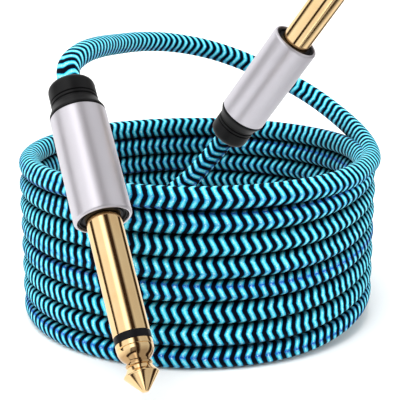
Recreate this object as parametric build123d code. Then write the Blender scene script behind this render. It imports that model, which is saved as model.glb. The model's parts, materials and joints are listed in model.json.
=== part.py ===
from build123d import *
import math
import os

# Braided instrument cable: a coil of cord with a straight two-pole phone plug on each end.
# Millimetres, +Z up. The origin is the centre of the coil, on the surface that it rests on.

# --- Cord and coil -----------------------------------------------------------------------
CORD_R = 2.2
COIL_R = 35.75  # coil axis to the middle of the cord
TURN_PITCH = 4.4
TURN_COUNT = 8
COIL_SAG = 0.15  # the lowest turn is pressed flat by this much
COIL_WEB = 1.7  # half thickness of the coil wall between two turns

# --- Plug, measured along its own axis from the front edge of the barrel (0), tip positive --
SHAFT_R = 3.175  # quarter inch plug
SLEEVE_END = 21.6
RING_END = 23.0
TIP_END = 31.5
COLLAR_TOP = 23.9  # the tip contact is as wide as the shaft up to here
BALL_MIDDLE = (2.88, 25.1)  # a point on the rounded part that a socket's spring rides over
NECK_R = 1.95
NECK_START = 26.35
NECK_END = 26.55
LEDGE_R = 2.25
LEDGE_END = 27.0
CONE_FOOT_R = 2.05
BEVEL_R = 2.5
BEVEL_START = 27.9
CONE_R = 3.0
CONE_START = 28.6
BLUNT_R = 0.75
BLUNT_CHAMFER = 0.25
TIP_EDGE = 0.12
TIP_STEP = 0.1
COLLAR_FLOOR = -1.4
COLLAR_FRONT = -0.35
REGISTER_R = 3.35  # step on the sleeve contact that centres the collar
REGISTER_FRONT = -0.55
FLANGE_BACK = -3.2
THREAD_BACK = -8.2
FLANGE_R = 4.6
THREAD_R = 4.35
RUNNING_GAP = 0.05  # barrel on flange and thread
SHAFT_BORE_R = 1.9
ROD_R = 1.1
RIVET_R = 1.6

BARREL_R = 5.25
BARREL_BACK = -21.5
BARREL_BORE_R = 4.5
BARREL_LIP = 0.35
BARREL_BACK_CHAMFER = 0.2

BOOT_GAP = 0.1  # between the barrel's back edge and the boot's flare
BOOT_BORE_R = 2.5
BOOT_MOUTH_R = 2.7  # the bore opens out to this at the back
BOOT_MOUTH = 2.0
BOOT_SPIGOT_R = 4.15
BOOT_SPIGOT_FRONT = -19.4
BOOT_FLARE_R = 5.2
BOOT_R = 4.4
BOOT_BACK = -28.5
BOOT_BACK_R = 3.55
BOOT_SHOULDER = 1.3
BOOT_ROUNDING = (4.15, -27.85)  # a point on the rounding of the back end
FLARE_LIP = 0.35
FLARE_NECK = -23.7  # where the flare's cone meets the body
GROOVE_DEPTH = 0.25
GROOVE_WIDTH = 0.3
GROOVES = (-24.0, -24.75)

COLLAR_R = 4.5
WASHER_R = 3.0
LUG_R = 3.8
LUG_T = 0.4
WASHER_T = 1.0
TAG_R = 2.4
STRIP_Y = -3.5  # outer face of the ground lug's strip
STRIP_TOP = STRIP_Y + LUG_T
STRIP_W = 3.0
CLAMP_FRONT = -16.4
CLAMP_LENGTH = 1.5
CLAMP_T = 0.42
CLAMP_GAP = 2.0
TUBE_OUT_R = 4.15
TUBE_IN_R = 3.85
TUBE_BACK = -18.9

JACKET_R = 1.75
JACKET_FRONT = -15.4
SHRINK_T = 0.2
DIELECTRIC_R = 0.9
DIELECTRIC_FRONT = -14.6
WIRE_R = 0.35
WIRE_FRONT = -12.2
TONGUE_Y = WIRE_R + 0.06  # inner face of the tip terminal's tongue
TONGUE_W = 1.8
TONGUE_BACK = -14.5
TONGUE_FRONT = -11.3
PIGTAIL_R = 0.45
PIGTAIL_BITE = 0.02  # the pigtail is laid tight against the dielectric

# --- Where the plugs lie: front edge of the barrel, and the way that the tip points ---------
PLUGS = {
    "a": {"at": (-16.3, -43.2, 31.0), "azimuth": -67.5, "elevation": -48.0},
    "b": {"at": (21.2, 5.4, 57.3), "azimuth": -33.5, "elevation": 52.5},
}

# --- Routes of the two free ends, from their first corner outside the plug to the coil --------
ROUTE_A = [
    (-22.6, -14.9, 57.0),
    (-20.3, -4.9, 57.1),
    (-17.6, 6.9, 56.4),
    (-12.6, 18.7, 55.9),
    (-4.7, 28.2, 54.6),
    (5.5, 33.8, 51.8),
    (16.5, 34.2, 47.3),
    (26.2, 29.7, 42.7),
    (33.1, 21.5, 38.3),
    (37.0, 10.9, 35.2),
    (37.6, -1.0, 33.0),
    (34.0, -11.0, 33.0),
]
ROUTE_B = [
    (-4.2, 15.0, 21.9),
    (-14.8, 9.4, 17.4),
    (-21.7, -0.3, 13.1),
    (-22.8, -11.4, 8.8),
    (-18.6, -21.5, 5.2),
    (-10.0, -28.8, 2.9),
    (1.2, -31.6, 2.2),
    (12.5, -29.1, 2.2),
    (22.7, -21.1, 2.2),
    (30.8, -8.8, 2.2),
    (34.8, 4.9, 2.2),
    (32.0, 17.0, 2.2),
    (25.4, 25.2, 2.2),
]
FIRST_CORNERS = {"a": -32.6, "b": -33.7}  # along each plug, where its free end starts to bend
ROUTES = {"a": ROUTE_A, "b": ROUTE_B}
CORNER_SHARE = 0.45  # of the shorter run beside a corner, taken up by its arc


def corner_radii(route):
    """The largest arc that each corner of a route has room for."""
    radii = []
    for before, corner, after in zip(route, route[1:], route[2:]):
        run_in = Vector(*corner) - Vector(*before)
        run_out = Vector(*after) - Vector(*corner)
        half_turn = math.radians(run_in.get_angle(run_out)) / 2
        shorter = min(run_in.length, run_out.length)
        radii.append(CORNER_SHARE * shorter / math.tan(half_turn))
    return radii


def cord_along(route, name):
    """A plain round cord along straight runs joined by tangent arcs."""
    radii = corner_radii(route)
    path = FilletPolyline(*route, radius=radii)
    section = Plane(origin=path @ 0, z_dir=path % 0) * Circle(CORD_R)
    tube = sweep(section, path=path)
    ideal = math.pi * CORD_R**2 * path.length
    rounded = [round(radius, 1) for radius in radii]
    print(f"{name}: length {path.length:.1f}, volume {tube.volume / ideal:.4f} of ideal, radii {rounded}")
    return tube


def coil():
    """The outer shape of the stacked turns, with a narrow flat where the lowest one rests."""
    first = CORD_R - COIL_SAG
    height = first + (TURN_COUNT - 1) * TURN_PITCH
    wall = Pos(COIL_R, (first + height) / 2) * Rectangle(2 * COIL_WEB, height - first)
    for turn in range(TURN_COUNT):
        wall += Pos(COIL_R, first + turn * TURN_PITCH) * Circle(CORD_R)
    ground = Pos(COIL_R, -CORD_R / 2) * Rectangle(3 * CORD_R, CORD_R)
    return revolve(Plane.XZ * (wall - ground), axis=Axis.Z)


# --- Plug pieces, each in the plug's own frame -----------------------------------------------
def turned(*outline):
    """A solid of revolution about the plug's axis, from closed (radius, height) edges."""
    edges = Curve() + list(outline)
    return revolve(Plane.XZ * make_face(edges), axis=Axis.Z)


def turned_polygon(*points):
    return turned(Polyline(*points, close=True))


def tube(inner, outer, low, high):
    return turned_polygon((inner, low), (outer, low), (outer, high), (inner, high))


def rod(radius, low, high):
    return Pos(0, 0, low) * extrude(Circle(radius), high - low)


def block(x, y, z):
    """A box between (low, high) pairs."""
    middle = [(low + high) / 2 for low, high in (x, y, z)]
    return Pos(*middle) * Box(x[1] - x[0], y[1] - y[0], z[1] - z[0])


LUG_BACK = THREAD_BACK - LUG_T
WASHER_BACK = LUG_BACK - WASHER_T
TAG_BACK = WASHER_BACK - LUG_T
ROD_BACK = TAG_BACK - 0.6


def tip():
    """Tip contact with the rod that carries it through the shaft, riveted over at the back."""
    edge = SHAFT_R - TIP_EDGE
    edge_top = COLLAR_TOP + TIP_EDGE
    ball = ThreePointArc((edge, edge_top), BALL_MIDDLE, (NECK_R, NECK_START))
    head = Polyline(
        (NECK_R, NECK_START),
        (NECK_R, NECK_END),
        (LEDGE_R, NECK_END + TIP_STEP),
        (LEDGE_R, LEDGE_END),
        (CONE_FOOT_R, LEDGE_END + TIP_STEP),
        (BEVEL_R, BEVEL_START),
        (CONE_R, CONE_START),
        (BLUNT_R, TIP_END - BLUNT_CHAMFER),
        (BLUNT_R - BLUNT_CHAMFER, TIP_END),
        (0, TIP_END),
    )
    inside = Polyline(
        (0, TIP_END),
        (0, ROD_BACK),
        (RIVET_R, ROD_BACK),
        (RIVET_R, TAG_BACK),
        (ROD_R, TAG_BACK),
        (ROD_R, RING_END),
        (SHAFT_R, RING_END),
        (SHAFT_R, COLLAR_TOP),
        (edge, edge_top),
    )
    return turned(head, inside, ball)


def insulator_ring():
    return tube(ROD_R, SHAFT_R, SLEEVE_END, RING_END)


def inner_tube():
    """Insulating tube between the rod and the sleeve."""
    return tube(ROD_R, SHAFT_BORE_R, THREAD_BACK, SLEEVE_END)


def sleeve():
    """Sleeve contact: the shaft, its flange, and the body that the barrel screws onto."""
    lead_in = 0.3
    relief = 0.25
    runout = 0.6
    return turned_polygon(
        (SHAFT_BORE_R, THREAD_BACK),
        (THREAD_R - lead_in, THREAD_BACK),
        (THREAD_R, THREAD_BACK + lead_in),
        (THREAD_R, FLANGE_BACK - runout),
        (THREAD_R - relief, FLANGE_BACK - runout + relief),
        (THREAD_R - relief, FLANGE_BACK),
        (FLANGE_R, FLANGE_BACK),
        (FLANGE_R, COLLAR_FLOOR),
        (REGISTER_R, COLLAR_FLOOR),
        (REGISTER_R, REGISTER_FRONT),
        (SHAFT_R, REGISTER_FRONT),
        (SHAFT_R, SLEEVE_END),
        (SHAFT_BORE_R, SLEEVE_END),
    )


def front_collar():
    """Stepped insulating collar, recessed in the barrel's mouth."""
    bead_r = 4.15
    step_r = 3.75
    step_front = COLLAR_FRONT - 0.4
    edge = 0.1
    return turned_polygon(
        (REGISTER_R, COLLAR_FLOOR),
        (COLLAR_R, COLLAR_FLOOR),
        (COLLAR_R, COLLAR_FRONT - edge),
        (COLLAR_R - edge, COLLAR_FRONT),
        (bead_r, COLLAR_FRONT),
        (bead_r - edge, step_front),
        (step_r, step_front),
        (step_r - edge, REGISTER_FRONT),
        (REGISTER_R, REGISTER_FRONT),
    )


def ground_lug():
    """Sleeve terminal: a ring, a strip along the cable, and a clamp bent round the cord."""
    ring = tube(SHAFT_BORE_R, LUG_R, LUG_BACK, THREAD_BACK)
    half = STRIP_W / 2
    back = CLAMP_FRONT - CLAMP_LENGTH
    strip = block((-half, half), (STRIP_Y, STRIP_TOP), (back, THREAD_BACK))
    slack = 0.1  # every cut reaches this far past what it cuts
    band = tube(CORD_R, CORD_R + CLAMP_T, back, CLAMP_FRONT)
    across = (-CLAMP_GAP / 2, CLAMP_GAP / 2)
    band -= block(across, (0, CORD_R + CLAMP_T + slack), (back - slack, CLAMP_FRONT + slack))
    neck = block(across, (STRIP_TOP, -CORD_R - slack), (back, CLAMP_FRONT))
    neck -= rod(CORD_R, back - slack, CLAMP_FRONT + slack)
    return ring + strip + band + neck


def rear_washer():
    return tube(ROD_R, WASHER_R, WASHER_BACK, LUG_BACK)


def tip_lug():
    """Tip terminal: a ring under the rivet, stepped in to a tongue beside the wire."""
    ring = tube(ROD_R, TAG_R, TAG_BACK, WASHER_BACK)
    across = (-TONGUE_W / 2, TONGUE_W / 2)
    top = TAG_R - 0.1
    riser = block(across, (top - LUG_T, top), (TONGUE_FRONT, WASHER_BACK))
    web = block(across, (TONGUE_Y, top), (TONGUE_FRONT - LUG_T, TONGUE_FRONT))
    tongue = block(across, (TONGUE_Y, TONGUE_Y + LUG_T), (TONGUE_BACK, TONGUE_FRONT))
    return ring + riser + web + tongue


def insulating_sleeve():
    """Plastic tube that keeps both terminals off the barrel."""
    return tube(TUBE_IN_R, TUBE_OUT_R, TUBE_BACK, THREAD_BACK)


def jacket_end():
    """Stripped back end of the cord's inner jacket."""
    return tube(DIELECTRIC_R, JACKET_R, JACKET_FRONT, CLAMP_FRONT)


def heat_shrink():
    return tube(JACKET_R, JACKET_R + SHRINK_T, JACKET_FRONT, CLAMP_FRONT)


def dielectric():
    return tube(WIRE_R, DIELECTRIC_R, CLAMP_FRONT, DIELECTRIC_FRONT)


def centre_wire():
    return rod(WIRE_R, CLAMP_FRONT, WIRE_FRONT)


def shield_pigtail():
    """The shield's strands, twisted together and led down to the ground strip."""
    start = PIGTAIL_BITE - DIELECTRIC_R - PIGTAIL_R
    end = STRIP_TOP + PIGTAIL_R
    bend = 0.8
    route = [
        (0, start, JACKET_FRONT),
        (0, start, JACKET_FRONT + 0.9),
        (0, end, JACKET_FRONT + 2.3),
        (0, end, JACKET_FRONT + 4.0),
    ]
    path = FilletPolyline(*route, radius=bend)
    section = Plane(origin=path @ 0, z_dir=path % 0) * Circle(PIGTAIL_R)
    return sweep(section, path=path)


def tip_solder():
    """Solder round the wire on the tip terminal's tongue."""
    blob = Pos(0, 0, -13.2) * Sphere(0.75)
    return blob - tip_lug() - centre_wire()


def ground_solder():
    """Solder over the pigtail on the ground strip."""
    size = 1.0
    middle = -12.2
    blob = Pos(0, STRIP_TOP + 0.2, middle) * Sphere(size)
    above = block((-size, size), (STRIP_TOP, STRIP_TOP + 2 * size), (middle - size, middle + size))
    return (blob & above) - shield_pigtail()


def barrel():
    """Aluminium shell that screws onto the sleeve contact's body."""
    mouth_r = FLANGE_R + RUNNING_GAP
    thread_r = THREAD_R + RUNNING_GAP
    seat = FLANGE_BACK - RUNNING_GAP
    thread_back = THREAD_BACK - RUNNING_GAP
    return turned_polygon(
        (mouth_r, seat),
        (mouth_r, -0.1),
        (mouth_r + 0.1, 0),
        (BARREL_R - BARREL_LIP, 0),
        (BARREL_R, -BARREL_LIP),
        (BARREL_R, BARREL_BACK + BARREL_BACK_CHAMFER),
        (BARREL_R - BARREL_BACK_CHAMFER, BARREL_BACK),
        (BARREL_BORE_R, BARREL_BACK),
        (BARREL_BORE_R, thread_back),
        (thread_r, thread_back),
        (thread_r, seat),
    )


def boot():
    """Strain relief: a spigot inside the barrel, a flare behind it, and a grooved body."""
    front = BARREL_BACK - BOOT_GAP
    shoulder = BOOT_BACK + BOOT_SHOULDER
    outline = Polyline(
        (BOOT_BACK_R, BOOT_BACK),
        (BOOT_MOUTH_R, BOOT_BACK),
        (BOOT_BORE_R, BOOT_BACK + BOOT_MOUTH),
        (BOOT_BORE_R, BOOT_SPIGOT_FRONT),
        (BOOT_SPIGOT_R, BOOT_SPIGOT_FRONT),
        (BOOT_SPIGOT_R, front),
        (BOOT_FLARE_R, front),
        (BOOT_FLARE_R, front - FLARE_LIP),
        (BOOT_R, FLARE_NECK),
        (BOOT_R, shoulder),
    )
    rounding = ThreePointArc((BOOT_R, shoulder), BOOT_ROUNDING, (BOOT_BACK_R, BOOT_BACK))
    body = turned(outline, rounding)
    for groove in GROOVES:
        body -= tube(BOOT_R - GROOVE_DEPTH, BOOT_R + 1, groove - GROOVE_WIDTH, groove)
    return body


PLUG_PIECES = {
    "tip": tip,
    "insulator_ring": insulator_ring,
    "inner_tube": inner_tube,
    "sleeve": sleeve,
    "front_collar": front_collar,
    "ground_lug": ground_lug,
    "rear_washer": rear_washer,
    "tip_lug": tip_lug,
    "insulating_sleeve": insulating_sleeve,
    "jacket_end": jacket_end,
    "heat_shrink": heat_shrink,
    "dielectric": dielectric,
    "centre_wire": centre_wire,
    "shield_pigtail": shield_pigtail,
    "tip_solder": tip_solder,
    "ground_solder": ground_solder,
    "barrel": barrel,
    "boot": boot,
}


def plug_frame(pose):
    """Plane at the barrel's front edge whose +Z is the way that the tip points."""
    azimuth = math.radians(pose["azimuth"])
    elevation = math.radians(pose["elevation"])
    along = (
        math.cos(elevation) * math.cos(azimuth),
        math.cos(elevation) * math.sin(azimuth),
        math.sin(elevation),
    )
    sideways = (-math.sin(azimuth), math.cos(azimuth), 0)
    return Plane(origin=pose["at"], x_dir=sideways, z_dir=along)


def main():
    os.makedirs("parts", exist_ok=True)
    nodes = {"coil": coil()}
    for end, pose in PLUGS.items():
        frame = plug_frame(pose)
        print(f"plug {end} points along", [round(n, 4) for n in frame.z_dir])
        start = tuple(frame.from_local_coords(Vector(0, 0, CLAMP_FRONT)))
        corner = tuple(frame.from_local_coords(Vector(0, 0, FIRST_CORNERS[end])))
        nodes[f"lead_{end}"] = cord_along([start, corner] + ROUTES[end], f"lead_{end}")
        for name, make in PLUG_PIECES.items():
            nodes[f"{name}_{end}"] = frame * make()
    for name, solid in nodes.items():
        export_step(solid, f"parts/{name}.step")


main()
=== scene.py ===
import json
import math

import bpy
from mathutils import Matrix, Vector, kdtree, noise


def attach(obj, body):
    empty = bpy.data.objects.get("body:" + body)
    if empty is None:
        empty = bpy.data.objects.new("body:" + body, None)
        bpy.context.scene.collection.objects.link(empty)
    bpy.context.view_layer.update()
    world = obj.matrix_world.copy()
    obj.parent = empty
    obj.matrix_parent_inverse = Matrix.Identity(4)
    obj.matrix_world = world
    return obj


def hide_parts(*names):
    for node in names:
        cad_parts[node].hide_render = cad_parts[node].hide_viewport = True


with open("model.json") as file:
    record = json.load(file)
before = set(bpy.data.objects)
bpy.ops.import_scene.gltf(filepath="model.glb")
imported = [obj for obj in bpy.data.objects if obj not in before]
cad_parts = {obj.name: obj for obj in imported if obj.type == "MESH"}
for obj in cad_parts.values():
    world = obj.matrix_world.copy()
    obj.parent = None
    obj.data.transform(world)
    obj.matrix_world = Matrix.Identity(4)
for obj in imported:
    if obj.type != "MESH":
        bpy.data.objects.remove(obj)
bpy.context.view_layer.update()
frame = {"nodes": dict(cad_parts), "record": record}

# A coiled instrument cable with a braided sleeve and a straight phone plug on each end.
# Metres, +Z up, in the CAD model's frame: the origin is the coil's centre, on the floor.
# Sizes of a plug are in millimetres, in the plug's own frame: 0 is the front edge of its
# barrel, and its tip points to +Z.

MM = 0.001

# --- Camera ----------------------------------------------------------------------------
CAMERA_AT = (0.54 * MM, -214.9 * MM, 79.33 * MM)
CAMERA_TILT = 75.42  # degrees up from straight down
CAMERA_LENS = 91.9

# --- Cord ------------------------------------------------------------------------------
CORD_D = 4.4 * MM
CORD_SIDES = 28
COIL_R = 35.75 * MM
TURN_PITCH = 4.4 * MM
TURN_COUNT = 8
COIL_STEP = 15  # degrees between two of the coil's points
COIL_UNEVEN = 0.15 * MM
UNEVEN_REACH = 70  # degrees round the coil over which its unevenness changes
UNEVEN_ROWS = (3.1, 8.6)  # of the noise, for the turns' radius and for their height
COIL_FIRST = 60  # degrees round the coil, where lead B has become the lowest turn
COIL_LAST = TURN_COUNT * 360 - 33  # and the last point before lead A leaves the top turn
CLIMB_START = 290  # each turn rises to the next one between these angles, on the right
CLIMB_END = 380

CREASE_REACH = 1.6 * CORD_D  # a stretch of cord nearer than this casts painted shade on this one
CREASE_SKIP = 12 * MM  # the cord casts no painted shade on itself over so short a length
CREASE_START = 0.55  # how squarely a point must face the other stretch to get painted shade
CREASE_RISE = 0.4  # and over how much more its painted shade grows to full
CREASE_SHADE_DEPTH = 0.93  # share of the colour that full painted shade takes away

# --- Plugs: front edge of the barrel, and the way that the tip points -------------------
PLUGS = {
    "a": {"at": (-16.3, -43.2, 31.0), "azimuth": -67.5, "elevation": -48.0},
    "b": {"at": (21.2, 5.4, 57.3), "azimuth": -33.5, "elevation": 52.5},
}
CLAMP_FRONT = -16.4  # along the plug, where the cord ends in its clamp
STRAIGHT_END = -26.5  # keeps the cord straight through the boot
FIRST_CORNERS = {"a": -32.6, "b": -33.7}

ROUTE_A = [
    (-22.6, -14.9, 57.0),
    (-20.3, -4.9, 57.1),
    (-17.6, 6.9, 56.4),
    (-12.6, 18.7, 55.9),
    (-4.7, 28.2, 54.6),
    (5.5, 33.8, 51.8),
    (16.5, 34.2, 47.3),
    (26.2, 29.7, 42.7),
    (33.1, 21.5, 38.3),
    (37.0, 10.9, 35.2),
    (37.6, -1.0, 33.0),
    (34.0, -11.0, 33.0),
]
ROUTE_B = [
    (-4.2, 15.0, 21.9),
    (-14.8, 9.4, 17.4),
    (-21.7, -0.3, 13.1),
    (-22.8, -11.4, 8.8),
    (-18.6, -21.5, 5.2),
    (-10.0, -28.8, 2.9),
    (1.2, -31.6, 2.2),
    (12.5, -29.1, 2.2),
    (22.7, -21.1, 2.2),
    (30.8, -8.8, 2.2),
    (34.8, 4.9, 2.2),
    (32.0, 17.0, 2.2),
    (25.4, 25.2, 2.2),
]
ROUTES = {"a": ROUTE_A, "b": ROUTE_B}


def make_camera():
    data = bpy.data.cameras.new("camera")
    data.sensor_width = 36
    data.lens = CAMERA_LENS
    data.clip_start = 0.01
    data.clip_end = 20
    camera = bpy.data.objects.new("camera", data)
    camera.location = CAMERA_AT
    camera.rotation_euler = (math.radians(CAMERA_TILT), 0, 0)
    bpy.context.scene.collection.objects.link(camera)
    bpy.context.scene.camera = camera


def plug_matrix(end):
    """The plug's own frame in the model's: +Z along the plug, towards its tip."""
    azimuth = math.radians(PLUGS[end]["azimuth"])
    elevation = math.radians(PLUGS[end]["elevation"])
    along = Vector((
        math.cos(elevation) * math.cos(azimuth),
        math.cos(elevation) * math.sin(azimuth),
        math.sin(elevation),
    ))
    sideways = Vector((-math.sin(azimuth), math.cos(azimuth), 0))
    across = along.cross(sideways)
    turn = Matrix((sideways, across, along)).transposed().to_4x4()
    return Matrix.Translation(Vector(PLUGS[end]["at"]) * MM) @ turn


def on_axis(end, height):
    """A point on a plug's axis, from its height in millimetres."""
    return plug_matrix(end) @ Vector((0, 0, height * MM))


def lead_points(end):
    """A free end of the cord, from the clamp in its plug to the coil."""
    straight = [on_axis(end, height) for height in (CLAMP_FRONT, STRAIGHT_END, FIRST_CORNERS[end])]
    return straight + [Vector(point) * MM for point in ROUTES[end]]


def coil_points():
    """The wound turns from the top down, a little uneven, as hand-wound turns are."""
    # A spline lies inside its control points by the cosine of half a step.
    even_radius = COIL_R / math.cos(math.radians(COIL_STEP / 2))
    points = []
    for angle in range(COIL_LAST, COIL_FIRST - 1, -COIL_STEP):
        turn, within = divmod(angle - CLIMB_START, 360)
        climb = min(1, within / (CLIMB_END - CLIMB_START))
        climb = climb * climb * (3 - 2 * climb)
        level = min(turn + climb, TURN_COUNT - 1)
        # noise.noise gives the same value in every run, which noise.noise_vector doesn't.
        places = [Vector((angle / UNEVEN_REACH, row, 0)) for row in UNEVEN_ROWS]
        outward, upward = (noise.noise(place) * COIL_UNEVEN for place in places)
        radius = even_radius + outward
        height = CORD_D / 2 + level * TURN_PITCH + max(0, upward)
        round_coil = math.radians(angle)
        points.append(Vector((radius * math.cos(round_coil), radius * math.sin(round_coil), height)))
    return points


def make_centreline():
    """The cord's one smooth line, from plug A's clamp to plug B's."""
    points = lead_points("a") + coil_points() + lead_points("b")[::-1]
    data = bpy.data.curves.new("centreline", "CURVE")
    data.dimensions = "3D"
    spline = data.splines.new("NURBS")
    spline.points.add(len(points) - 1)
    for slot, point in zip(spline.points, points):
        slot.co = (*point, 1)
    spline.order_u = 3
    spline.use_endpoint_u = True
    spline.resolution_u = 12
    curve = bpy.data.objects.new("centreline", data)
    bpy.context.scene.collection.objects.link(curve)
    bpy.context.view_layer.update()
    mesh = bpy.data.meshes.new_from_object(curve)
    line = [vertex.co.copy() for vertex in mesh.vertices]
    bpy.data.objects.remove(curve)
    bpy.data.meshes.remove(mesh)
    return line


def along_frames(line):
    """A direction and a side vector at each point of a line, turned as little as possible."""
    side = None
    frames = []
    for index, point in enumerate(line):
        before = line[max(index - 1, 0)]
        after = line[min(index + 1, len(line) - 1)]
        along = (after - before).normalized()
        if side is None:
            side = along.orthogonal()
        side = (side - along * side.dot(along)).normalized()
        frames.append((point, along, side))
    return frames


def mesh_object(name, points, faces, smooth=True):
    mesh = bpy.data.meshes.new(name)
    mesh.from_pydata([tuple(point) for point in points], [], faces)
    mesh.validate()
    if smooth:
        mesh.shade_smooth()
    piece = bpy.data.objects.new(name, mesh)
    bpy.context.scene.collection.objects.link(piece)
    return piece


def neighbour_ways(line, reached):
    """For each point of the line, the ways to other stretches beside it, and how near each is."""
    tree = kdtree.KDTree(len(line))
    for index, point in enumerate(line):
        tree.insert(point, index)
    tree.balance()
    ways = []
    for index, point in enumerate(line):
        near = []
        for other, number, distance in tree.find_range(point, CREASE_REACH):
            if abs(reached[number] - reached[index]) > CREASE_SKIP:
                closeness = min(1, (CREASE_REACH - distance) / (CREASE_REACH - CORD_D))
                near.append(((other - point).normalized(), closeness))
        ways.append(near)
    return ways


def cord_rings(line, reached):
    """The cord's points, a ring for each point of its line, and how much painted shade each gets in a
    crease.
    """
    points = []
    crease_shades = []
    for (point, along, side), near in zip(along_frames(line), neighbour_ways(line, reached)):
        across = along.cross(side)
        for step in range(CORD_SIDES):
            angle = 2 * math.pi * step / CORD_SIDES
            outward = side * math.cos(angle) + across * math.sin(angle)
            points.append(point + outward * CORD_D / 2)
            facing = max((outward.dot(way) * closeness for way, closeness in near), default=0)
            crease_shades.append(min(1, max(0, (facing - CREASE_START) / CREASE_RISE)))
    return points, crease_shades


def make_cord(line):
    """The braided cord as one tube; its UV map holds the turn round it and the metres along it."""
    reached = [0]
    for before, after in zip(line, line[1:]):
        reached.append(reached[-1] + (after - before).length)
    points, crease_shades = cord_rings(line, reached)
    faces = []
    uvs = []
    for ring in range(len(line) - 1):
        here, beyond = ring * CORD_SIDES, (ring + 1) * CORD_SIDES
        low, high = reached[ring], reached[ring + 1]
        for step in range(CORD_SIDES):
            following = (step + 1) % CORD_SIDES
            faces.append((here + step, here + following, beyond + following, beyond + step))
            left, right = step / CORD_SIDES, (step + 1) / CORD_SIDES
            uvs += [(left, low), (right, low), (right, high), (left, high)]
    last = (len(line) - 1) * CORD_SIDES
    faces.append(tuple(range(CORD_SIDES))[::-1])
    faces.append(tuple(last + step for step in range(CORD_SIDES)))
    uvs += [(0, 0)] * CORD_SIDES + [(0, reached[-1])] * CORD_SIDES
    cord = mesh_object("cord", points, faces)
    layer = cord.data.uv_layers.new(name="braid")
    for corner, uv in zip(layer.data, uvs):
        corner.uv = uv
    # Each point's painted shade from the stretches beside it, for the braid's colour.
    shade = cord.data.attributes.new("crease_shade", "FLOAT", "POINT")
    for slot, value in zip(shade.data, crease_shades):
        slot.value = value
    return cord, reached[-1]


# --- Nodes -----------------------------------------------------------------------------
class Nodes:
    """A node tree, with short expressions that each add to it and return a node's output."""

    def __init__(self, tree):
        self.tree = tree

    def node(self, kind, inputs=None, **settings):
        made = self.tree.nodes.new(kind)
        for key, value in settings.items():
            setattr(made, key, value)
        for key, value in (inputs or {}).items():
            self.feed(made.inputs[key], value)
        return made

    def feed(self, socket, value):
        if isinstance(value, bpy.types.NodeSocket):
            self.tree.links.new(value, socket)
        else:
            socket.default_value = value

    def maths(self, operation, *values, clamp=False):
        numbered = dict(enumerate(values))
        made = self.node("ShaderNodeMath", numbered, operation=operation, use_clamp=clamp)
        return made.outputs[0]

    def times(self, first, second, clamp=False):
        return self.maths("MULTIPLY", first, second, clamp=clamp)

    def mix(self, factor, first, second):
        """Two colours mixed; inputs 6 and 7 are the mix node's colour sockets."""
        made = self.node("ShaderNodeMix", {0: factor}, data_type="RGBA")
        for socket, value in ((made.inputs[6], first), (made.inputs[7], second)):
            self.feed(socket, (*value, 1) if isinstance(value, tuple) else value)
        return made.outputs[2]


class Surface(Nodes):
    """One material."""

    def __init__(self, name):
        self.material = bpy.data.materials.new(name)
        self.material.use_nodes = True
        super().__init__(self.material.node_tree)
        self.shader = self.tree.nodes["Principled BSDF"]

    def position(self):
        return self.node("ShaderNodeTexCoord").outputs["Object"]

    def height(self):
        """Along a turned piece's axis."""
        return self.node("ShaderNodeSeparateXYZ", {0: self.position()}).outputs["Z"]

    def stretched(self, vector, scale):
        """A vector with each axis scaled, for grain that runs one way."""
        made = self.node("ShaderNodeVectorMath", {0: vector, 1: scale}, operation="MULTIPLY")
        return made.outputs[0]

    def noise(self, vector, scale, detail=3.0, roughness=0.5):
        made = self.node("ShaderNodeTexNoise", {
            "Vector": vector, "Scale": scale, "Detail": detail, "Roughness": roughness,
        })
        return made.outputs["Fac"]

    def ramp(self, value, *stops, ease="LINEAR"):
        """Colours or greys at positions from 0 to 1."""
        made = self.node("ShaderNodeValToRGB", {"Fac": value})
        ramp = made.color_ramp
        ramp.interpolation = ease
        while len(ramp.elements) < len(stops):
            ramp.elements.new(1)
        for element, (place, colour) in zip(ramp.elements, stops):
            element.position = place
            grey = isinstance(colour, (int, float))
            element.color = (colour, colour, colour, 1) if grey else (*colour, 1)
        return made.outputs["Color"]

    def bump(self, height, distance):
        made = self.node("ShaderNodeBump", {"Height": height, "Distance": distance, "Strength": 1.0})
        self.feed(self.shader.inputs["Normal"], made.outputs["Normal"])

    def set(self, **values):
        """Feeds the shader and returns the finished material."""
        for key, value in values.items():
            name = key.replace("_", " ").title().replace("Ior", "IOR")
            self.feed(self.shader.inputs[name], value)
        return self.material


# --- Braid -----------------------------------------------------------------------------
BRAID_PITCH = 1.94 * MM  # one turquoise and one black stripe
ZIGZAGS = 3  # round the cord
ZIGZAG_SHIFT = 0.48  # how far one arm of a zigzag moves along the cord, in pitches
ZIGZAG_TWIST = -4.45  # zigzags that the pattern turns round the cord in each metre
ZIGZAG_START = -0.32  # turns the zigzags' points to the right on the coil's front
ZIGZAG_WANDER = 0.3
YARN_WOBBLE = 0.16
FILAMENTS = 8  # in a pitch
BLACK_YARN = (0.0006, 0.001, 0.005)
# The deeper blue of the painted shade at some zigzag points.
CORNER_SHADE_BLUE = (0.004, 0.07, 0.42)
BLUE_STRETCH = 1.6  # a larger number makes the stretches of painted blue shade shorter
# The near-white of the painted glints.
GLINT_COLOUR = (0.70, 0.93, 0.96)


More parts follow.
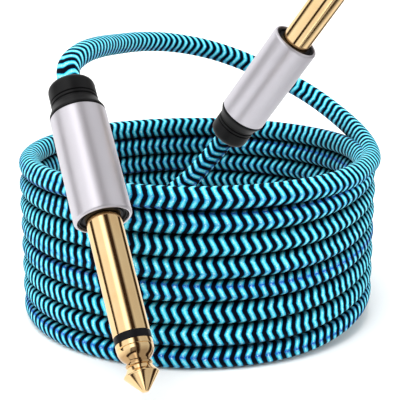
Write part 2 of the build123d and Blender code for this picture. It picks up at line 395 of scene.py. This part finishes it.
def braid_material():
    """Turquoise and black yarns whose stripes zigzag round the cord, with painted shade in the
    creases and painted highlights on the yarns.
    """
    s = Surface("braided sleeve")
    place = s.node("ShaderNodeUVMap", uv_map="braid").outputs["UV"]
    split = s.node("ShaderNodeSeparateXYZ", {0: place})
    around, along = split.outputs["X"], split.outputs["Y"]

    # The phase goes up by 1 for each zigzag, and the zigzag from 0 to 1 and back.
    slow = s.noise(s.position(), scale=30.0, detail=1.0)
    wander = s.maths("MULTIPLY_ADD", slow, ZIGZAG_WANDER, ZIGZAG_START)
    drift = s.maths("MULTIPLY_ADD", along, ZIGZAG_TWIST, wander)
    phase = s.maths("MULTIPLY_ADD", around, float(ZIGZAGS), drift)
    zigzag = s.times(s.maths("PINGPONG", phase, 0.5), 2.0)
    eased = s.ramp(zigzag, (0.0, 0.0), (1.0, 1.0), ease="EASE")
    turn = s.maths("MULTIPLY_ADD", zigzag, 0.6, s.times(eased, 0.4))

    # Across the stripes, in pitches. Rather more than half of each pitch is turquoise: rise is
    # 1 along the middle of its yarns and -1 along the middle of the black ones.
    stripes = s.maths("DIVIDE", along, BRAID_PITCH)
    wobble = s.times(s.noise(s.position(), scale=900.0, detail=2.0), YARN_WOBBLE)
    across = s.maths("ADD", s.maths("MULTIPLY_ADD", turn, ZIGZAG_SHIFT, stripes), wobble)
    rise = s.maths("SINE", s.times(across, 2 * math.pi))
    from_black = s.maths("MULTIPLY_ADD", rise, 0.5, 0.5)
    # The yarns' own turquoise and black, with painted highlight paler along each turquoise crown and
    # painted shade darker towards its edges.
    colour = s.ramp(
        from_black,
        (0.0, BLACK_YARN),
        (0.34, (0.001, 0.003, 0.014)),
        (0.43, (0.002, 0.08, 0.22)),
        (0.54, (0.010, 0.38, 0.57)),
        (0.80, (0.032, 0.51, 0.69)),
        (1.0, (0.20, 0.74, 0.85)),
    )

    # Painted shade: where two arms of a zigzag meet, some of the points are painted a deeper blue.
    corner = s.times(s.maths("PINGPONG", phase, 0.25), 4.0)
    near_corner = s.maths("SUBTRACT", 1.0, s.times(corner, BLUE_STRETCH), clamp=True)
    sided = s.maths("COSINE", s.times(phase, 2 * math.pi / ZIGZAGS))
    corner_shade_part = s.times(near_corner, sided, clamp=True)
    on_turquoise = s.maths("GREATER_THAN", rise, 0.0)
    colour = s.mix(s.times(corner_shade_part, on_turquoise), colour, CORNER_SHADE_BLUE)

    # Painted glints: single filaments are painted near-white on the crowns of the turquoise yarns.
    painted_glints = s.ramp(s.noise(s.position(), scale=3200.0, detail=1.0), (0.56, 0.0), (0.68, 1.0))
    crown = s.times(s.maths("SUBTRACT", rise, 0.3), 1.4, clamp=True)
    colour = s.mix(s.times(s.times(painted_glints, crown), 0.6), colour, GLINT_COLOUR)

    filaments = s.maths("SINE", s.times(across, 2 * math.pi * FILAMENTS))
    speckle = s.maths("MULTIPLY_ADD", s.noise(s.position(), scale=500.0), 0.5, 0.72)
    tone = s.maths("MULTIPLY_ADD", filaments, 0.08, speckle)
    # Painted shade: the colour is darkened where another stretch of cord lies close beside this one.
    crease_shade = s.node("ShaderNodeAttribute", attribute_name="crease_shade").outputs["Fac"]
    unshaded_part = s.maths("SUBTRACT", 1.0, s.times(crease_shade, CREASE_SHADE_DEPTH))
    shaded = s.node(
        "ShaderNodeVectorMath", {0: colour, "Scale": s.times(tone, unshaded_part)}, operation="SCALE",
    )

    dome = s.maths("POWER", s.maths("ABSOLUTE", rise), 0.5)
    seat = s.maths("MULTIPLY_ADD", s.times(corner, 2.5, clamp=True), 0.35, 0.65)
    s.bump(s.maths("MULTIPLY_ADD", filaments, 0.05, s.times(dome, seat)), 0.2 * MM)
    roughness = s.ramp(from_black, (0.4, 0.7), (0.7, 0.42))
    gloss = s.times(s.maths("POWER", unshaded_part, 3.0), 0.05)
    return s.set(base_color=shaded.outputs[0], roughness=roughness, specular_ior_level=gloss)


# --- Other materials -------------------------------------------------------------------
# Where the gold is painted browner, as shade, in the tip's neck:
NECK_MIDDLE = 26.0 * MM  # of the tip's neck, along the plug
NECK_REACH = 1.5 * MM
NECK_FADE = 0.8 * MM


def turned_marks(s, fineness, depth):
    """Faint rings that a lathe leaves round a piece that is turned about its own Z."""
    rings = s.node(
        "ShaderNodeTexNoise", {"W": s.height(), "Scale": fineness, "Detail": 4.0},
        noise_dimensions="1D",
    ).outputs["Fac"]
    s.bump(rings, depth)
    return rings


def gold_material():
    s = Surface("pale gold plating")
    rings = turned_marks(s, 9000.0, 0.002 * MM)
    handled = s.noise(s.position(), scale=220.0, detail=4.0)
    worn = s.ramp(handled, (0.35, 0.0), (0.75, 1.0))
    tint = s.mix(worn, (0.95, 0.69, 0.37), (0.90, 0.61, 0.30))
    # Painted shade: the plating is painted browner down in the tip's neck.
    from_neck = s.maths("ABSOLUTE", s.maths("SUBTRACT", s.height(), NECK_MIDDLE))
    neck_shade = s.maths("DIVIDE", s.maths("SUBTRACT", NECK_REACH, from_neck), NECK_FADE, clamp=True)
    tint = s.mix(s.times(neck_shade, 0.62), tint, (0.30, 0.15, 0.06))
    smear = s.maths("MULTIPLY_ADD", handled, 0.08, 0.05)
    roughness = s.maths("MULTIPLY_ADD", rings, 0.04, smear)
    return s.set(base_color=tint, metallic=1.0, roughness=roughness)


def barrel_material():
    s = Surface("satin silver")
    rings = turned_marks(s, 16000.0, 0.004 * MM)
    patches = s.noise(s.position(), scale=160.0)
    tint = s.mix(patches, (0.70, 0.675, 0.725), (0.64, 0.62, 0.665))
    roughness = s.maths("MULTIPLY_ADD", rings, 0.10, 0.33)
    return s.set(base_color=tint, metallic=0.87, roughness=roughness)


def rubber_material(name, base, roughness):
    s = Surface(name)
    s.bump(s.noise(s.position(), scale=5200.0, detail=2.0, roughness=0.7), 0.012 * MM)
    dust = s.ramp(s.noise(s.position(), scale=260.0, detail=5.0), (0.45, 0.0), (0.8, 1.0))
    tint = s.mix(s.times(dust, 0.35), (base, base, base * 1.1), (0.011, 0.011, 0.012))
    roughness = s.maths("MULTIPLY_ADD", dust, 0.12, roughness)
    return s.set(base_color=tint, roughness=roughness, specular_ior_level=0.18)


def tinned_material():
    s = Surface("tinned steel")
    lengthways = s.stretched(s.position(), (1.0, 1.0, 0.12))
    brushed = s.noise(lengthways, scale=3000.0)
    s.bump(brushed, 0.006 * MM)
    tint = s.mix(s.noise(s.position(), scale=500.0), (0.70, 0.69, 0.66), (0.58, 0.57, 0.55))
    roughness = s.maths("MULTIPLY_ADD", brushed, 0.2, 0.2)
    return s.set(base_color=tint, metallic=1.0, roughness=roughness)


def copper_material():
    s = Surface("bare copper strands")
    twist = s.node("ShaderNodeTexWave", {
        "Vector": s.position(), "Scale": 900.0, "Distortion": 1.5, "Detail": 2.0,
    }, bands_direction="DIAGONAL").outputs["Fac"]
    s.bump(twist, 0.05 * MM)
    tint = s.mix(twist, (0.42, 0.16, 0.07), (0.86, 0.44, 0.26))
    return s.set(base_color=tint, metallic=1.0, roughness=0.3)


def solder_material():
    s = Surface("solder")
    lumps = s.noise(s.position(), scale=1400.0, detail=2.0)
    s.bump(lumps, 0.08 * MM)
    tint = s.mix(s.noise(s.position(), scale=3000.0), (0.66, 0.66, 0.68), (0.46, 0.46, 0.48))
    roughness = s.maths("MULTIPLY_ADD", lumps, 0.25, 0.15)
    return s.set(base_color=tint, metallic=1.0, roughness=roughness)


def plastic_material(name, first, second, roughness, grain=2500.0, **values):
    """A moulded material that varies between two close colours."""
    s = Surface(name)
    flow = s.noise(s.position(), scale=350.0, detail=4.0)
    s.bump(s.noise(s.position(), scale=grain), 0.008 * MM)
    tint = s.mix(flow, first, second)
    return s.set(
        base_color=tint, roughness=s.maths("MULTIPLY_ADD", flow, 0.12, roughness), **values,
    )


def floor_material():
    s = Surface("pale floor")
    cloud = s.noise(s.position(), scale=3.0, detail=2.0)
    s.bump(s.noise(s.position(), scale=700.0, detail=2.0), 0.01 * MM)
    tint = s.mix(cloud, (0.74, 0.74, 0.74), (0.77, 0.77, 0.77))
    return s.set(base_color=tint, roughness=0.7, specular_ior_level=0.2)


def make_materials():
    """A material for each of the record's slots."""
    return {
        "braided_cord": braid_material(),
        "gold": gold_material(),
        "silver_barrel": barrel_material(),
        "black_rubber": rubber_material("black rubber", base=0.003, roughness=0.40),
        "black_plastic": plastic_material(
            "black plastic", (0.002, 0.002, 0.003), (0.006, 0.006, 0.007), 0.32,
            specular_ior_level=0.1,
        ),
        "tinned_steel": tinned_material(),
        "fibre_washer": plastic_material(
            "pressed fibre", (0.36, 0.10, 0.05), (0.5, 0.2, 0.12), 0.6, grain=5000.0,
        ),
        "clear_plastic": plastic_material(
            "clear tube", (0.86, 0.88, 0.9), (0.8, 0.83, 0.86), 0.12,
            transmission_weight=0.8, ior=1.46,
        ),
        "black_jacket": rubber_material("black jacket", base=0.02, roughness=0.5),
        "shrink_tube": plastic_material(
            "shrink tube", (0.03, 0.03, 0.035), (0.05, 0.05, 0.055), 0.4,
        ),
        "dielectric": plastic_material(
            "milky dielectric", (0.86, 0.86, 0.83), (0.92, 0.92, 0.9), 0.3, subsurface_weight=0.2,
        ),
        "copper": copper_material(),
        "solder": solder_material(),
    }


# --- Turned pieces of a plug, as outlines of (radius, height, rounding) in millimetres ----
SEGMENTS = 96
TINY = 0.02  # nearest that an outline comes to the axis

SHAFT_R = 3.175
SHAFT_BORE_R = 1.9
ROD_R = 1.1
RIVET_R = 1.6
RIVET_FRONT = -10.0
RIVET_BACK = -10.7
SLEEVE_END = 21.6
RING_END = 23.0
TIP_COLLAR_TOP = 23.9
BALL_R = 3.12
NECK_R = 1.95
NECK_END = 26.55
LEDGE_R = 2.25
LEDGE_END = 27.0
CONE_FOOT_R = 2.05
BEVEL_R = 2.5
BEVEL_START = 27.9
CONE_R = 3.0
CONE_START = 28.6
BLUNT_R = 0.75
TIP_END = 31.5

COLLAR_R = 4.5
COLLAR_FLOOR = -1.4
COLLAR_FRONT = -0.35
COLLAR_LIP_R = 3.2
COLLAR_LIP_FRONT = -0.5
REGISTER_R = 3.35
REGISTER_FRONT = -0.6
FLANGE_R = 4.6
FLANGE_BACK = -3.2
THREAD_R = 4.35
THREAD_NECK_R = 4.1
THREAD_BACK = -8.2

RUNNING_GAP = 0.05  # barrel on flange and thread
BARREL_R = 5.25
BARREL_BACK = -21.5
BARREL_BORE_R = 4.5

BOOT_GAP = 0.1  # between the barrel's back edge and the boot's flare
BOOT_BORE_R = 2.5
BOOT_MOUTH_R = 2.72
BOOT_MOUTH = 2.0
BOOT_SPIGOT_R = 4.15
BOOT_SPIGOT_FRONT = -19.4
BOOT_FLARE_R = 5.2
BOOT_R = 4.4
BOOT_BACK = -28.5
GROOVES = (-24.0, -24.75)
GROOVE_FLOOR_R = 4.15


def rounded(*corners, default=0.08, steps=3):
    """An outline with its corners rounded: each corner is (radius, height, rounding)."""
    outline = []
    count = len(corners)
    for index, corner in enumerate(corners):
        here = Vector(corner[:2])
        size = corner[2] if len(corner) > 2 else default
        before = Vector(corners[index - 1][:2]) - here
        after = Vector(corners[(index + 1) % count][:2]) - here
        reach = min(size, before.length * 0.45, after.length * 0.45)
        if reach < 0.004:
            outline.append(tuple(here))
            continue
        start = here + before.normalized() * reach
        end = here + after.normalized() * reach
        for step in range(steps + 1):
            t = step / steps
            outline.append(tuple(start * (1 - t) ** 2 + here * 2 * t * (1 - t) + end * t * t))
    return outline


def barrel_outline():
    flange_bore, thread_bore = FLANGE_R + RUNNING_GAP, THREAD_R + RUNNING_GAP
    flange_bore_back, thread_bore_back = -3.25, -8.25
    return rounded(
        (flange_bore, flange_bore_back, 0), (flange_bore, -0.12, 0.05),
        (4.74, -0.02, 0.03), (4.88, 0.0, 0.05), (5.20, -0.30, 0.10), (BARREL_R, -0.55, 0.12),
        (BARREL_R, BARREL_BACK + 0.2, 0.08), (5.06, BARREL_BACK, 0.05),
        (BARREL_BORE_R, BARREL_BACK, 0.0), (BARREL_BORE_R, thread_bore_back, 0.0),
        (thread_bore, thread_bore_back, 0), (thread_bore, flange_bore_back, 0),
    )


def boot_outline():
    front = BARREL_BACK - BOOT_GAP
    grooves = []
    for groove in GROOVES:
        grooves += [
            (BOOT_R, groove + 0.02, 0.06), (GROOVE_FLOOR_R, groove - 0.05, 0.05),
            (GROOVE_FLOOR_R, groove - 0.25, 0.05), (BOOT_R, groove - 0.32, 0.06),
        ]
    return rounded(
        (BOOT_BORE_R, BOOT_BACK + BOOT_MOUTH, 0.3), (BOOT_BORE_R, BOOT_SPIGOT_FRONT, 0.05),
        (BOOT_SPIGOT_R, BOOT_SPIGOT_FRONT, 0.1), (BOOT_SPIGOT_R, front, 0.02),
        (BOOT_FLARE_R, front, 0.08), (BOOT_FLARE_R, front - 0.4, 0.15),
        (4.75, front - 1.25, 0.5), (BOOT_R, front - 2.1, 0.4),
        *grooves,
        (BOOT_R, -27.3, 0.3), (4.3, -27.75, 0.25), (4.05, -28.15, 0.25), (3.62, -28.47, 0.15),
        (3.1, BOOT_BACK, 0.1), (BOOT_MOUTH_R, BOOT_BACK, 0.05),
        steps=4,
    )


def collar_outline():
    return rounded(
        (REGISTER_R, COLLAR_FLOOR, 0), (COLLAR_R, COLLAR_FLOOR, 0),
        (COLLAR_R, COLLAR_FRONT - 0.07, 0.06), (4.40, COLLAR_FRONT, 0.05),
        (4.17, COLLAR_FRONT, 0.06), (4.02, -0.78, 0.08), (3.76, -0.78, 0.06),
        (3.66, COLLAR_LIP_FRONT, 0.04), (COLLAR_LIP_R, COLLAR_LIP_FRONT, 0.02),
        (COLLAR_LIP_R, REGISTER_FRONT, 0), (REGISTER_R, REGISTER_FRONT, 0),
    )


def sleeve_outline():
    return rounded(
        (SHAFT_BORE_R, THREAD_BACK, 0), (4.05, THREAD_BACK, 0.05),
        (THREAD_R, THREAD_BACK + 0.3, 0.05), (THREAD_R, -3.8, 0.05),
        (THREAD_NECK_R, -3.55, 0.05), (THREAD_NECK_R, FLANGE_BACK, 0.02),
        (FLANGE_R, FLANGE_BACK), (FLANGE_R, COLLAR_FLOOR),
        (REGISTER_R, COLLAR_FLOOR, 0.02), (REGISTER_R, REGISTER_FRONT, 0.02),
        (SHAFT_R, REGISTER_FRONT, 0.02), (SHAFT_R, SLEEVE_END, 0.05), (SHAFT_BORE_R, SLEEVE_END, 0),
    )


def ring_outline():
    return rounded(
        (ROD_R, SLEEVE_END, 0), (SHAFT_R, SLEEVE_END, 0.04), (SHAFT_R, RING_END, 0.04),
        (ROD_R, RING_END, 0),
    )


def tip_outline():
    return rounded(
        (TINY, RIVET_BACK, 0), (RIVET_R, RIVET_BACK, 0.2), (RIVET_R, RIVET_FRONT, 0.05),
        (ROD_R, RIVET_FRONT, 0.02), (ROD_R, RING_END, 0),
        (SHAFT_R, RING_END, 0.06), (SHAFT_R, TIP_COLLAR_TOP - 0.05, 0.05), (3.05, 23.92, 0.03),
        (BALL_R, 24.02, 0.05), (3.10, 24.6, 0.4), (2.72, 25.5, 0.5), (2.0, 26.2, 0.35),
        (NECK_R, NECK_END), (LEDGE_R, NECK_END + 0.07, 0.06), (LEDGE_R, LEDGE_END, 0.06),
        (CONE_FOOT_R, LEDGE_END + 0.1, 0.03), (BEVEL_R, BEVEL_START, 0.05),
        (CONE_R - 0.04, CONE_START - 0.1, 0.08), (CONE_R - 0.02, CONE_START + 0.06, 0.06),
        (BLUNT_R, TIP_END - 0.25, 0.25), (0.5, TIP_END, 0.2), (TINY, TIP_END, 0),
    )


CORE = "coil_and_plug_cores"
# For each CAD node: its outline, the body that it rides on where it moves, and its slot.
TURNED = {
    "barrel": (barrel_outline, "barrel", "silver_barrel"),
    "boot": (boot_outline, "boot", "black_rubber"),
    "front_collar": (collar_outline, "", "black_plastic"),
    "sleeve": (sleeve_outline, "", "gold"),
    "insulator_ring": (ring_outline, "", "black_plastic"),
    "tip": (tip_outline, "", "gold"),
}


def turned_piece(node, end, materials):
    """A closed solid of revolution that stands for one CAD node."""
    make_outline, moving, slot = TURNED[node]
    outline = make_outline()
    points = []
    for radius, height in outline:
        for step in range(SEGMENTS):
            angle = 2 * math.pi * step / SEGMENTS
            points.append((radius * MM * math.cos(angle), radius * MM * math.sin(angle), height * MM))
    faces = []
    count = len(outline)
    for index in range(count):
        here, beyond = index * SEGMENTS, (index + 1) % count * SEGMENTS
        for step in range(SEGMENTS):
            following = (step + 1) % SEGMENTS
            faces.append((here + step, here + following, beyond + following, beyond + step))
    piece = mesh_object(f"plug_{node}_{end}", points, faces)
    piece.data.set_sharp_from_angle(angle=math.radians(32))
    piece.data.materials.append(materials[slot])
    piece.matrix_world = plug_matrix(end)
    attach(piece, f"{moving}_{end}" if moving else CORE)
    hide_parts(f"{node}_{end}")
    return piece


def dress_inner_pieces(materials):
    """Better materials for the CAD nodes that keep their own shape."""
    slots = {row["node"]: row["material_slot"] for row in frame["record"]["subparts"]}
    for name, node in frame["nodes"].items():
        if node.hide_render or slots[name] not in materials:
            continue
        node.data.materials.clear()
        node.data.materials.append(materials[slots[name]])
        node.data.shade_smooth()
        node.data.set_sharp_from_angle(angle=math.radians(30))


# --- Studio ----------------------------------------------------------------------------
FLOOR_HALF = 6.0
CARDS_STRENGTH = 1.15  # of the light cards that polished metal reflects
DOME_STRENGTH = 0.9  # of the even light from all round
GAP_COLOUR = (0.03, 0.016, 0.009)
WHITE = (1.0, 1.0, 1.0)

# The ways that plug A points, that its front faces and that its right side faces. Gaps in
# the light are placed by their turn round the first of them, in degrees from the second.
PLUG_ALONG = (0.256, -0.618, -0.743)
PLUG_FRONT = (-0.014, -0.771, 0.637)
PLUG_SIDE = (0.967, 0.153, 0.206)

# Suns: the way towards each, its softness in degrees and its strength.
SUNS = {
    "key": ((-0.22, -0.30, 0.85), 40.0, 2.5),
    "top": ((0.05, 0.4, 0.8), 40.0, 1.0),
    "left rim": ((-1.0, 0.05, 0.35), 40.0, 1.4),
    "right rim": ((1.0, 0.05, 0.35), 40.0, 1.4),
}


def make_floor():
    corners = [(-FLOOR_HALF, -FLOOR_HALF, 0), (FLOOR_HALF, -FLOOR_HALF, 0)]
    corners += [(FLOOR_HALF, FLOOR_HALF, 0), (-FLOOR_HALF, FLOOR_HALF, 0)]
    floor = mesh_object("floor", corners, [(0, 1, 2, 3)], smooth=False)
    floor.data.materials.append(floor_material())
    floor.visible_glossy = False


def gap(n, value, centre, half_width, edge):
    """1 inside a gap, 0 outside it, soft over its edge."""
    off = n.maths("ABSOLUTE", n.maths("SUBTRACT", value, centre))
    return n.maths("DIVIDE", n.maths("SUBTRACT", half_width + edge, off), edge, clamp=True)


def reflected_cards(n):
    """What polished metal reflects: how much of a dark gap, and how bright the cards, each way."""
    direction = n.node("ShaderNodeTexCoord").outputs["Generated"]

    def towards(way):
        made = n.node("ShaderNodeVectorMath", {0: direction, 1: way}, operation="DOT_PRODUCT")
        return made.outputs["Value"]

    right = towards((1, 0, 0))
    up = towards((0, 0, 1))
    forward = gap(n, towards((0, -1, 0)), 1.0, half_width=0.45, edge=0.10)
    along_plug = towards(PLUG_ALONG)
    turn = n.maths("DEGREES", n.maths("ARCTAN2", towards(PLUG_SIDE), towards(PLUG_FRONT)))

    # Lines along plug A's shaft.
    left_gap = gap(n, turn, -87.0, half_width=8.0, edge=9.0)
    left_gap = n.times(left_gap, n.maths("GREATER_THAN", up, -0.08))
    middle_gap = gap(n, turn, 19.0, half_width=9.0, edge=15.0)
    right_gap = gap(n, turn, 113.0, half_width=9.0, edge=10.0)
    # A band across plug A's way, at the left and front, and a thin line low on the right.
    low_gap = gap(n, along_plug, 0.655, half_width=0.08, edge=0.06)
    low_gap = n.times(n.times(low_gap, n.maths("LESS_THAN", right, 0.2)), forward)
    low_right = gap(n, turn, 143.0, half_width=2.5, edge=3.0)
    low_right = n.times(low_right, n.maths("LESS_THAN", up, -0.3))
    # A dark place round the way to the camera.
    camera_gap = gap(n, along_plug, 0.34, half_width=0.24, edge=0.12)
    camera_gap = n.times(camera_gap, gap(n, right, 0.05, half_width=0.40, edge=0.1))
    camera_gap = n.times(n.times(camera_gap, forward), 0.85)
    gaps = left_gap
    for another in (middle_gap, right_gap, low_gap, low_right, camera_gap):
        gaps = n.maths("MAXIMUM", gaps, another)

    # The cards are dimmer between the middle and right gaps and on the left, and brightest
    # just left of the middle one.
    level = n.maths("MULTIPLY_ADD", right, -0.10, 1.0)
    level = n.maths("MULTIPLY_ADD", gap(n, turn, 66.0, half_width=20.0, edge=26.0), -0.40, level)
    level = n.maths("MULTIPLY_ADD", gap(n, turn, -48.0, half_width=12.0, edge=18.0), -0.12, level)
    level = n.maths("MULTIPLY_ADD", gap(n, turn, -12.0, half_width=4.0, edge=14.0), 0.75, level)
    return gaps, level


def make_world():
    """An even white dome; polished metal shows light cards with dark gaps between them."""
    world = bpy.data.worlds.new("studio")
    world.use_nodes = True
    bpy.context.scene.world = world
    n = Nodes(world.node_tree)
    gaps, level = reflected_cards(n)
    cards = n.node("ShaderNodeBackground", {
        "Color": n.mix(gaps, WHITE, GAP_COLOUR), "Strength": n.times(level, CARDS_STRENGTH),
    })
    # The camera sees plain white, and the dome is a little dimmer than that.
    ray = n.node("ShaderNodeLightPath").outputs
    seen = n.maths("MULTIPLY_ADD", ray["Is Camera Ray"], 1.0 - DOME_STRENGTH, DOME_STRENGTH)
    dome = n.tree.nodes["Background"]
    n.feed(dome.inputs["Color"], (*WHITE, 1))
    n.feed(dome.inputs["Strength"], seen)
    either = n.node("ShaderNodeMixShader", {
        0: ray["Is Glossy Ray"], 1: dome.outputs[0], 2: cards.outputs[0],
    })
    n.feed(n.tree.nodes["World Output"].inputs["Surface"], either.outputs[0])


def make_sun(name, way, softness, strength):
    data = bpy.data.lights.new(name, "SUN")
    data.angle = math.radians(softness)
    data.energy = strength
    light = bpy.data.objects.new(name, data)
    light.rotation_euler = Vector(way).to_track_quat("Z", "Y").to_euler()
    light.visible_glossy = False
    bpy.context.scene.collection.objects.link(light)


# --- The scene -------------------------------------------------------------------------
make_camera()
materials = make_materials()
line = make_centreline()
cord, cord_length = make_cord(line)
cord.data.materials.append(materials["braided_cord"])
cord.visible_glossy = False
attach(cord, CORE)
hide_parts("coil", "lead_a", "lead_b")
plugs = {end: [turned_piece(node, end, materials) for node in TURNED] for end in PLUGS}
dress_inner_pieces(materials)
make_floor()
make_world()
for name, (way, softness, strength) in SUNS.items():
    make_sun(name, way, softness, strength)
bpy.context.scene.view_settings.view_transform = "Standard"

print("cord length", cord_length)
